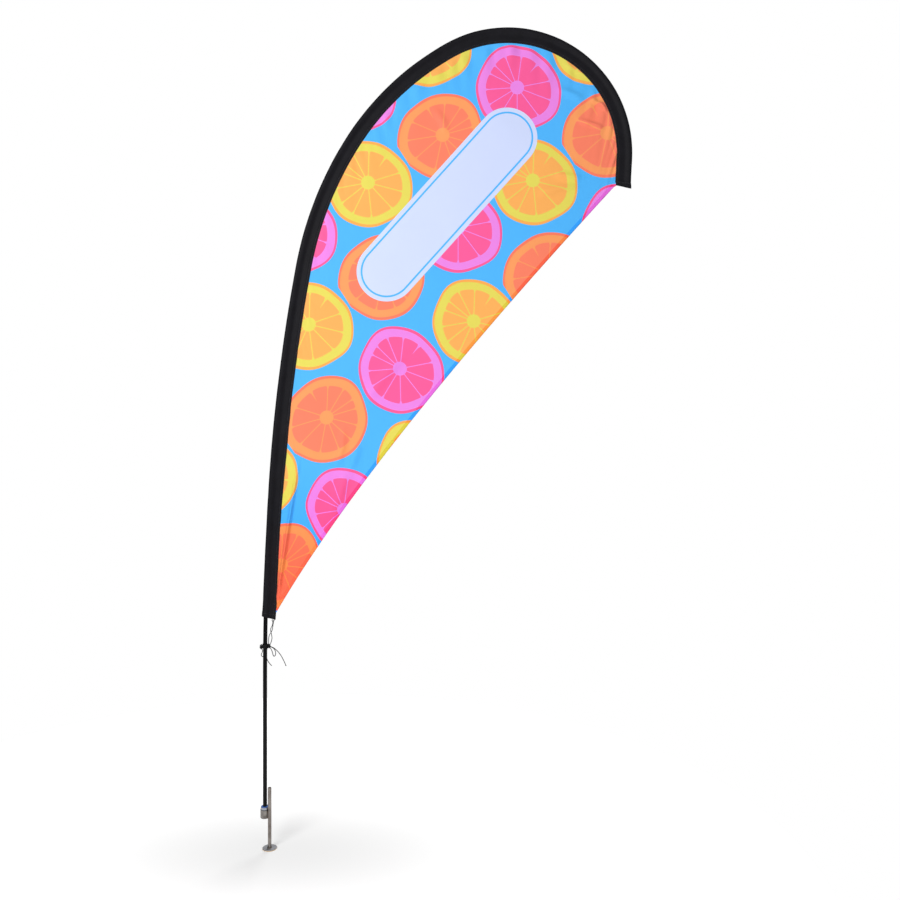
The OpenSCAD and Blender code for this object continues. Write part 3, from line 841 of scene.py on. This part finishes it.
def sleeve_outline(s, inset=0.0):
    """The sleeve's cloth at distance s, as (u, v) points round the pole and out to its sewn edge."""
    radius = lookup(SLEEVE_BORE, s) + SLEEVE_WALL - inset
    reach = lookup(SLEEVE_REACH, s) - (SEAM_WIDTH if inset else 0.0)
    edge = SEAM_HALF if not inset else 0.0004
    seam = reach - (SEAM_WIDTH if not inset else 0.001)
    tangent = math.atan2(edge, seam) + math.acos(radius / math.hypot(seam, edge))
    side = []
    for i in range(1, 10):
        t = i / 9
        u = radius * math.cos(tangent) * (1 - t) + seam * t
        v = radius * math.sin(tangent) * (1 - t) + edge * t
        side.append((u, v - SLEEVE_SAG * fade(t, 0.12, 0.5) * (1 - t)))
    band = [] if inset else [
        (seam + 0.0015, edge - 0.00065),
        (seam + 0.0030, edge + 0.00010),
        (seam + 0.0055, edge + 0.00010),
        (reach - 0.0025, edge - 0.00050),
        (reach - 0.0010, edge),
        (reach, edge * 0.55),
    ]
    front = side + band
    arc = []
    for i in range(ARC_POINTS):
        a = tangent + (2 * math.pi - 2 * tangent) * i / (ARC_POINTS - 1)
        arc.append((radius * math.cos(a), radius * math.sin(a)))
    return arc + [(u, -v) for u, v in front] + front[::-1]


def sleeve_ring(s, inset=0.0):
    """One ring of the sleeve in the row frame, with its hems, puckers and slanted ends."""
    reach = lookup(SLEEVE_REACH, s)
    at_mouth = 1 - fade(s, SLEEVE_FROM, SLEEVE_FROM + 0.055)
    at_tip = fade(s, SLEEVE_TO - 0.060, SLEEVE_TO)
    flat = 1 - 0.80 * fade(s, TIP_CAP_END, SLEEVE_TO - 0.004)
    hem = 1 - fade(s, SLEEVE_FROM + HEM_WIDTH, SLEEVE_FROM + HEM_WIDTH + 0.0012)
    hem = max(hem, fade(s, SLEEVE_TO - HEM_WIDTH - 0.0012, SLEEVE_TO - HEM_WIDTH))
    bent = fade(s, 2.30, 3.00)
    ring = []
    for u, v in sleeve_outline(s, inset):
        across = min(1.0, max(0.0, u / reach))
        out = 0.0
        if not inset:
            loose = math.sin(math.pi * min(1.0, across * 1.15)) if across > 0 else 0.0
            side = 7.3 if v > 0 else 1.9
            out += 0.0007 * loose * ripple(s * 11, u * 30, side)
            out += (0.0003 + 0.0007 * bent) * across * loose * ripple(s * 62, u * 40, side + 3)
            out += 0.0004 * (1 - across) * ripple(s * 17, math.atan2(v, u), 4.4)
            out += 0.00055 * hem
        size = math.hypot(u, v) if across == 0 else 0
        du = out * u / size if size else 0.0
        dv = out * (v / size if size else math.copysign(1.0, v))
        if across > 0.93:
            du, dv = 0.0, dv * 0.3
        v2 = (v + dv) * flat
        u2 = (u + du) * (1 + 0.22 * (1 - flat) * (1 - across))
        w = (MOUTH_SLANT * at_mouth + TIP_SLANT * at_tip) * u2
        ring.append(beside(s, u2, v2, w))
    return ring


def stitch(points, faces, a, b, normal, r=0.00028):
    """One stitch from a to b, standing a little proud of the cloth."""
    along = (b - a).normalized()
    side = along.cross(normal).normalized()
    start = len(points)
    for share, size, lift in ((0.0, 0.35, -0.4), (0.3, 1.0, 0.45), (0.7, 1.0, 0.45), (1.0, 0.35, -0.4)):
        centre = a.lerp(b, share) + normal * lift * r
        for k in range(5):
            angle = 2 * math.pi * k / 5
            points.append(centre + size * r * (math.cos(angle) * side + math.sin(angle) * normal))
    faces += grid_faces(4, 5, start, closed=True)
    faces.append(tuple(range(start + 4, start - 1, -1)))
    faces.append(tuple(range(start + 15, start + 20)))


def stitch_line(points, faces, line, normal_at, pitch=0.0042, length=0.0032):
    """Stitches along a line of points. normal_at(point) is the cloth's normal there."""
    step = 0.0004
    path, _ = even_path(line, step)
    every, run = round(pitch / step), round(length / step)
    for i in range(0, len(path) - run, every):
        stitch(points, faces, path[i], path[i + run], normal_at(path[i + run // 2]))


def seam_stitches(material):
    """Two rows down both faces of the sewn edge, and one round each hem."""
    points, faces = [], []
    stations = span(SLEEVE_FROM + 0.004, SLEEVE_TO - 0.004, 0.012)
    for inward in (0.0025, SEAM_WIDTH - 0.0015):
        for face in (-1, 1):
            line = [
                beside(s, lookup(SLEEVE_REACH, s) - inward, face * (SEAM_HALF - 0.0002))
                for s in stations
            ]
            stitch_line(points, faces, line, lambda _, face=face: Vector((0, face, 0)))
    for s in (SLEEVE_FROM + HEM_WIDTH - 0.003, SLEEVE_TO - HEM_WIDTH + 0.003):
        ring = sleeve_ring(s)[:-6]
        middle = sum(ring, Vector()) / len(ring)
        along = Vector((math.sin(pole_at(s)[2]), 0, math.cos(pole_at(s)[2])))

        def normal_at(p):
            out = p - middle
            out -= out.project(along)
            return Vector((out.x * 0.35, out.y * 2.2, out.z * 0.35)).normalized()

        stitch_line(points, faces, smooth_route(ring, 3), normal_at)
    return make_piece("sleeve_stitches", points, faces, [material])


def make_sleeve():
    """The black pole sleeve: a sewn cloth tube, open and hemmed at its mouth, shut at the tip."""
    stations = (
        span(SLEEVE_FROM, SLEEVE_FROM + HEM_WIDTH, 0.004)
        + [SLEEVE_FROM + HEM_WIDTH + 0.0006, SLEEVE_FROM + HEM_WIDTH + 0.0013]
        + span(SLEEVE_FROM + 0.026, TIP_CAP_END - 0.008, 0.0085)
        + [SLEEVE_TO - HEM_WIDTH - 0.0014, SLEEVE_TO - HEM_WIDTH - 0.0006]
        + span(SLEEVE_TO - HEM_WIDTH, SLEEVE_TO, 0.0025)
    )
    outer = [sleeve_ring(s) for s in sorted(stations)]
    inner_stations = [SLEEVE_FROM] + span(SLEEVE_FROM + 0.02, TIP_CAP_END + 0.004, 0.025)
    inner = [sleeve_ring(s, inset=SLEEVE_WALL) for s in inner_stations]
    n, m = len(outer[0]), len(inner[0])
    points = [p for ring in outer for p in ring]
    faces = grid_faces(len(outer), n, closed=True)
    base = len(points)
    points += [p for ring in inner for p in ring]
    faces += grid_faces(len(inner), m, base, closed=True, flip=True)
    faces.append(tuple(range((len(outer) - 1) * n, len(outer) * n)))
    faces.append(tuple(range(base + len(inner) * m - 1, base + (len(inner) - 1) * m - 1, -1)))
    faces += mouth_faces(outer[0], inner[0], base)
    piece = make_piece("sleeve_cloth_tube", points, faces, [sleeve_cloth()])
    declare(piece, "flag", "sleeve_cloth", "pole_sleeve")
    stitches = declare(seam_stitches(sewing_thread()), "flag", "sleeve_cloth")


def mouth_faces(outer, inner, base):
    """Joins the outer and inner cloth at the mouth, walking round both rings in step."""
    n, m = len(outer), len(inner)
    faces, i, j = [], 0, 0
    while i < n or j < m:
        if j >= m or (i < n and i / n <= j / m):
            faces.append((i % n, base + j % m, (i + 1) % n))
            i += 1
        else:
            faces.append((i % n, base + j % m, base + (j + 1) % m))
            j += 1
    return faces


def free_edge(t):
    """Point of the flag's free edge, from the mouth at 0 to the tip at 1."""
    a, b, c = Vector(EDGE_START), Vector(EDGE_PULL), Vector(EDGE_END)
    return (1 - t) ** 2 * a + 2 * t * (1 - t) * b + t * t * c


def panel_grid(rows, columns):
    """(x, z) points over the flag in rows from the sleeve to the free edge, the hem's last."""
    grid = []
    for i in range(rows):
        t = i / (rows - 1)
        s = PANEL_FROM + (PANEL_TO - PANEL_FROM) * t
        start = beside(s, lookup(SLEEVE_REACH, s) - PANEL_TUCK, 0)
        start = Vector((start.x, start.z))
        end = free_edge(t)
        across = end - start
        edge = (free_edge(t + 0.01) - free_edge(t - 0.01)).normalized()
        slant = abs(across.normalized().cross(edge))
        hem = min(0.45, PANEL_HEM / max(1e-6, slant * across.length))
        shares = [(1 - hem) * j / (columns - HEM_COLUMNS) for j in range(columns - HEM_COLUMNS)]
        shares += [1 - hem * (1 - j / (HEM_COLUMNS - 1)) for j in range(HEM_COLUMNS)]
        grid.append([start.lerp(end, share) for share in shares])
    return grid


def fold_depth(x, z):
    """How far the folds and a slow unevenness push the cloth towards the camera."""
    p, depth = Vector((x, z)), 0.0
    for points, width, height in FOLDS:
        total = len(points) - 1
        best, along = 9.0, 0.0
        for k, (a, b) in enumerate(zip(points, points[1:])):
            a, b = Vector(a), Vector(b)
            t = min(1.0, max(0.0, (p - a).dot(b - a) / (b - a).length_squared))
            distance = (p - a.lerp(b, t)).length
            if distance < best:
                best, along = distance, (k + t) / total
        if best < 3 * width:
            ends = math.sin(math.pi * min(0.98, max(0.02, along))) ** 0.6
            depth += height * ends * math.exp(-((best / width) ** 2))
    return FOLD_STRENGTH * depth + SETTLE * ripple(x * 7, z * 7, 2.7)


def hang_cloth(piece, pinned):
    """Lets the cloth hang from its pinned edge for a moment. Returns its points."""
    group = piece.vertex_groups.new(name="pinned")
    group.add(pinned, 1.0, "REPLACE")
    cloth = piece.modifiers.new("hang", "CLOTH")
    cloth.settings.quality = 5
    cloth.settings.mass = 0.002
    cloth.settings.air_damping = 4
    for name in ("tension", "compression", "shear"):
        setattr(cloth.settings, f"{name}_stiffness", 40)
    cloth.settings.bending_stiffness = 0.02
    cloth.settings.vertex_group_mass = "pinned"
    cloth.collision_settings.use_self_collision = False
    cloth.collision_settings.use_collision = False
    cloth.point_cache.frame_end = 20
    for number in range(1, 21):
        bpy.context.scene.frame_set(number)
    shown = piece.evaluated_get(bpy.context.evaluated_depsgraph_get())
    points = [v.co.copy() for v in shown.data.vertices]
    bpy.context.scene.frame_set(1)
    return points


def hung_offsets(rows, columns):
    """How far each point of a coarse flag moves as it hangs, kept within HANG_ALONG and HANG_OUT."""
    flat = [p for row in panel_grid(rows, columns) for p in row]
    points = [Vector((p.x, FLAG_Y + 0.001 * ripple(p.x * 5, p.y * 5, 0.4), p.y)) for p in flat]
    sheet = make_piece("coarse_flag", points, grid_faces(rows, columns), [])
    pinned = [i * columns + j for i in range(rows) for j in range(columns)
              if j == 0 or i in (0, rows - 1)]
    hung = hang_cloth(sheet, pinned)
    bpy.data.objects.remove(sheet)
    offsets = []
    for a, b in zip(points, hung):
        move = b - a
        flat_move = Vector((move.x, 0, move.z))
        if flat_move.length > HANG_ALONG:
            flat_move *= HANG_ALONG / flat_move.length
        offsets.append(flat_move + Vector((0, min(HANG_OUT, max(-HANG_OUT, move.y)), 0)))
    return offsets


def between(grid, rows, columns, i, j):
    """Value between the points of a grid at fractional row i and column j."""
    a, b = min(int(i), rows - 2), min(int(j), columns - 2)
    u, v = i - a, j - b
    first, second = a * columns + b, (a + 1) * columns + b
    upper = grid[first].lerp(grid[first + 1], v)
    return upper.lerp(grid[second].lerp(grid[second + 1], v), u)


def cloth_depth(p, t, share, off_seam):
    """How far the flag stands off its flat plane: billow, folds, and puckers at the seam."""
    room = math.sin(math.pi * t) * math.sin(math.pi * min(1.0, share * 0.75))
    bent = 0.35 + 0.65 * fade(t, 0.40, 0.62)
    pucker = bent * math.exp(-off_seam / 0.06) * ripple(t * 80, off_seam * 7, 9.1)
    free = fade(off_seam, 0.004, 0.028) * fade(1 - t, 0, 0.02) * fade(t, 0, 0.02)
    return free * (BILLOW * room + fold_depth(p.x, p.y) + SEAM_PUCKER * pucker)


def make_panel():
    """The flag's middle surface: its points, their normals and its quads, row by row."""
    offsets = hung_offsets(COARSE_ROWS, COARSE_COLUMNS)
    points = []
    for i, row in enumerate(panel_grid(PANEL_ROWS, PANEL_COLUMNS)):
        t = i / (PANEL_ROWS - 1)
        for j, p in enumerate(row):
            share = j / (PANEL_COLUMNS - 1)
            out = cloth_depth(p, t, share, (p - row[0]).length)
            moved = between(
                offsets, COARSE_ROWS, COARSE_COLUMNS,
                t * (COARSE_ROWS - 1), share * (COARSE_COLUMNS - 1),
            )
            points.append(Vector((p.x, FLAG_Y - out, p.y)) + moved)
    quads = grid_faces(PANEL_ROWS, PANEL_COLUMNS)
    sheet = make_piece("flag_middle", points, quads, [])
    normals = [v.normal.copy() for v in sheet.data.vertices]
    bpy.data.objects.remove(sheet)
    return points, normals, quads


def close_cloth(centres, normals, quads):
    """Gives the cloth its thickness: two faces, a thicker hem, and a rim round both."""
    count = len(centres)
    hem_from = PANEL_COLUMNS - HEM_COLUMNS
    in_hem = [v % PANEL_COLUMNS >= hem_from for v in range(count)]
    half = [HEM_HALF if hem else CLOTH_HALF for hem in in_hem]
    front = [p + n * h for p, n, h in zip(centres, normals, half)]
    back = [p - n * h for p, n, h in zip(centres, normals, half)]
    faces = list(quads) + [tuple(count + v for v in reversed(q)) for q in quads]
    uses = {}
    for q in quads:
        for a, b in zip(q, q[1:] + q[:1]):
            uses.setdefault((min(a, b), max(a, b)), []).append((a, b))
    for pair in uses.values():
        if len(pair) == 1:
            a, b = pair[0]
            faces.append((b, a, count + a, count + b))
    slots = [int(all(in_hem[v % count] for v in f)) for f in faces]
    return front + back, faces, slots


def hem_stitches(material, centres):
    """Two rows of stitches along the free edge's hem, on both faces."""
    points, faces = [], []
    edge = centres[PANEL_COLUMNS - 1 :: PANEL_COLUMNS]
    inner = centres[PANEL_COLUMNS - HEM_COLUMNS :: PANEL_COLUMNS]
    for share in (0.17, 0.83):
        line = [p.lerp(q, share) for p, q in zip(edge, inner)][4:-4]
        for face in (-1, 1):
            lift = Vector((0, face * (HEM_HALF + 0.0001), 0))
            out = Vector((0, face, 0))
            stitch_line(points, faces, [p + lift for p in line], lambda _, out=out: out)
    return make_piece("hem_stitches", points, faces, [material])


def make_flag():
    """The flag's cloth with its hem and stitching."""
    centres, normals, quads = make_panel()
    points, faces, slots = close_cloth(centres, normals, quads)
    cloth = printed_cloth("printed_polyester", doubled=False)
    hem = printed_cloth("printed_hem", doubled=True)
    piece = make_piece("flag_panel_cloth", points, faces, [cloth, hem], slots=slots)
    declare(piece, "flag", "printed_polyester", "flag_panel")
    stitches = declare(hem_stitches(hem, centres), "flag", "printed_polyester")


def make_tab():
    """Webbing loop sewn under the sleeve's mouth for the tie."""
    middle = (TAB[0] + TAB[1]) / 2
    ring_r = (TAB[1].x - TAB[0].x) / 2 - 0.0005
    centre = Vector((middle.x, FLAG_Y, TAB[0].z + ring_r + 0.0005))
    profile = [Vector((middle.x - 0.0011, FLAG_Y, TAB[1].z - 0.001))]
    for a in span(math.radians(108), math.radians(432), math.radians(12)):
        profile.append(centre + ring_r * Vector((math.cos(a), 0, math.sin(a))))
    profile.append(Vector((middle.x + 0.0011, FLAG_Y, TAB[1].z - 0.001)))
    path, _ = even_path(smooth_route(profile, 3), 0.0008)
    points = []
    half_w, half_t = (TAB[1].y - TAB[0].y) / 2, 0.0005
    corners = [(-1, -1), (-0.9, -1.15), (0.9, -1.15), (1, -1), (1, 1), (0.9, 1.15), (-0.9, 1.15), (-1, 1)]
    for i, p in enumerate(path):
        ahead = (path[min(i + 1, len(path) - 1)] - path[max(i - 1, 0)]).normalized()
        out = ahead.cross(Vector((0, 1, 0))).normalized()
        for across, thick in corners:
            points.append(p + Vector((0, across * half_w, 0)) + out * thick * half_t)
    faces = grid_faces(len(path), 8, closed=True)
    faces.append(tuple(range(7, -1, -1)))
    faces.append(tuple(range(len(points) - 8, len(points))))
    piece = make_piece("tie_tab", points, faces, [webbing_cloth()])
    declare(piece, "flag", "webbing", "cord_tab")


# ---- welds
def weld_bead(name, path, r, material, *nodes):
    """A weld bead laid in overlapping puddles, in place of the CAD's plain fillet."""
    step, puddle_length = 0.0005, 0.0026
    path, _ = even_path(path, step)

    def radius(i, k):
        puddle = abs(math.sin(math.pi * i * step / puddle_length))
        return r * (0.86 + 0.16 * puddle + 0.06 * ripple(i * 0.31, k * 0.9, 1.3))

    points, faces = tube_shell(path, radius, 14)
    declare(make_piece(name, points, faces, [material]), "ground_spike", "weld_steel", *nodes)


def make_welds():
    """The bead round the bar on the foot disc, and the two that hold the housing to the bar."""
    material = weld_metal()
    bar_r = (BAR[1].x - BAR[0].x) / 2
    out, z = bar_r + 0.0006, DISC[1].z + 0.0003
    turn = [
        Vector((out * math.cos(a), out * math.sin(a), z))
        for a in span(math.radians(-60), math.radians(302), math.radians(6))
    ]
    weld_bead("disc_weld_bead", turn, 0.0015, material, "disc_weld")
    lo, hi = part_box("housing_welds")
    angle = math.atan2(FLAG_Y, POLE_X)
    for side, name, nodes in (
        (-1, "housing_weld_left", ["housing_welds"]),
        (1, "housing_weld_right", []),
    ):
        u, v = 0.0058, side * 0.0046
        x = u * math.cos(angle) - v * math.sin(angle)
        y = u * math.sin(angle) + v * math.cos(angle)
        run = [Vector((x, y, z)) for z in span(lo.z + 0.001, hi.z - 0.001, 0.002)]
        weld_bead(name, run, 0.0022, material, *nodes)


# ---- CAD nodes that stay
def dress(names, material):
    """Gives CAD nodes their material."""
    for name in names.split():
        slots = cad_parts[name].data.materials
        slots.clear()
        slots.append(material)


def dress_cad():
    """Materials of every CAD node that stays as it is."""
    dress("spike_bar", drawn_steel())
    dress("foot_disc", zinc_plate())
    dress("pole_washer", moulded_plastic("blue_plastic", (70, 118, 196), (48, 92, 170), 0.36))
    dress("tip_cap", moulded_plastic("black_rubber", (26, 26, 28), (16, 16, 18), 0.6))
    dress("lower_pole_tube second_pole_tube third_pole_tube tip_pole_tube", wound_composite())
    dress("tip_pocket", webbing_cloth())
    turned = (
        ("housing_steel", (150, 146, 142), (108, 103, 99), 0.2, "bearing_housing housing_cap"),
        ("spindle_aluminium", (178, 181, 190), (148, 151, 160), 0.24, "spindle"),
        ("bearing_steel", (206, 208, 212), (176, 178, 184), 0.12,
         "upper_outer_race lower_outer_race upper_inner_race lower_inner_race upper_balls "
         "lower_balls bearing_shields outer_spacer inner_spacer"),
        ("cage_brass", (206, 168, 92), (176, 138, 66), 0.25, "upper_ball_cage lower_ball_cage"),
        ("spring_steel", (70, 70, 76), (46, 46, 52), 0.3, "housing_snap_ring shaft_circlip"),
        ("ferrule_steel", (186, 188, 192), (156, 158, 163), 0.24,
         "lower_ferrule middle_ferrule upper_ferrule"),
    )
    for name, light, dark, rough, nodes in turned:
        dress(nodes, turned_metal(name, light, dark, rough))


# ---- stage
def make_floor():
    """A plain pale floor, a little darker round the flag's foot, where a soft shadow is painted into its
    colour and its glow.
    """
    points = [
        Vector((FLOOR_R * math.cos(a), FLOOR_R * math.sin(a), 0))
        for a in span(0, 2 * math.pi * 0.99, 0.06)
    ]
    f = Finish("pale_floor", Roughness=0.9, Emission_Strength=0.40, Specular_IOR_Level=0.0)
    x, y, _ = f.axes()
    # Painted shadow: the floor's colour and glow darken towards the flag's foot.
    x, y = (x - SHADOW_AT[0]) / SHADOW_SIZE[0], (y - SHADOW_AT[1]) / SHADOW_SIZE[1]
    painted_shadow = x.hypot(y).between(1.0, 0.0)
    tone = f.mix(painted_shadow * painted_shadow * (painted_shadow * -2 + 3), (255, 255, 255), (220, 220, 220))
    f.colour(tone)
    f.link(tone, f.shader.inputs["Emission Color"])
    floor = make_piece("floor", points, [tuple(range(len(points)))], [f.material])


def area_light(name, place, aim, size, power):
    data = bpy.data.lights.new(name, "AREA")
    data.shape, data.size, data.energy = "DISK", size, power
    light = bpy.data.objects.new(name, data)
    light.location = place
    light.rotation_euler = (Vector(aim) - Vector(place)).to_track_quat("-Z", "Y").to_euler()
    bpy.context.scene.collection.objects.link(light)


def make_light():
    """Soft studio light: a bright even surround, a key from the upper left and a rim light."""
    world = bpy.data.worlds.new("studio")
    bpy.context.scene.world = world
    world.use_nodes = True
    tree = world.node_tree
    ground = tree.nodes["Background"]
    path = tree.nodes.new("ShaderNodeLightPath")
    strength = Wire(tree, path.outputs["Is Camera Ray"]) * 0.77 + 0.23
    tree.links.new(strength.socket, ground.inputs["Strength"])
    ground.inputs["Color"].default_value = (1, 1, 1, 1)
    aim = (0.5, FLAG_Y, 1.4)
    area_light("key", (-1.3, -3.3, 2.9), aim, 2.2, 123)
    area_light("fill", (2.4, -2.8, 1.2), aim, 2.4, 22)
    area_light("back", (0.9, 3.2, 2.6), aim, 2.4, 70)
    bpy.context.scene.view_settings.view_transform = "Standard"


make_camera()
make_tie()
make_sleeve()
make_flag()
make_tab()
make_welds()
dress_cad()
make_floor()
make_light()
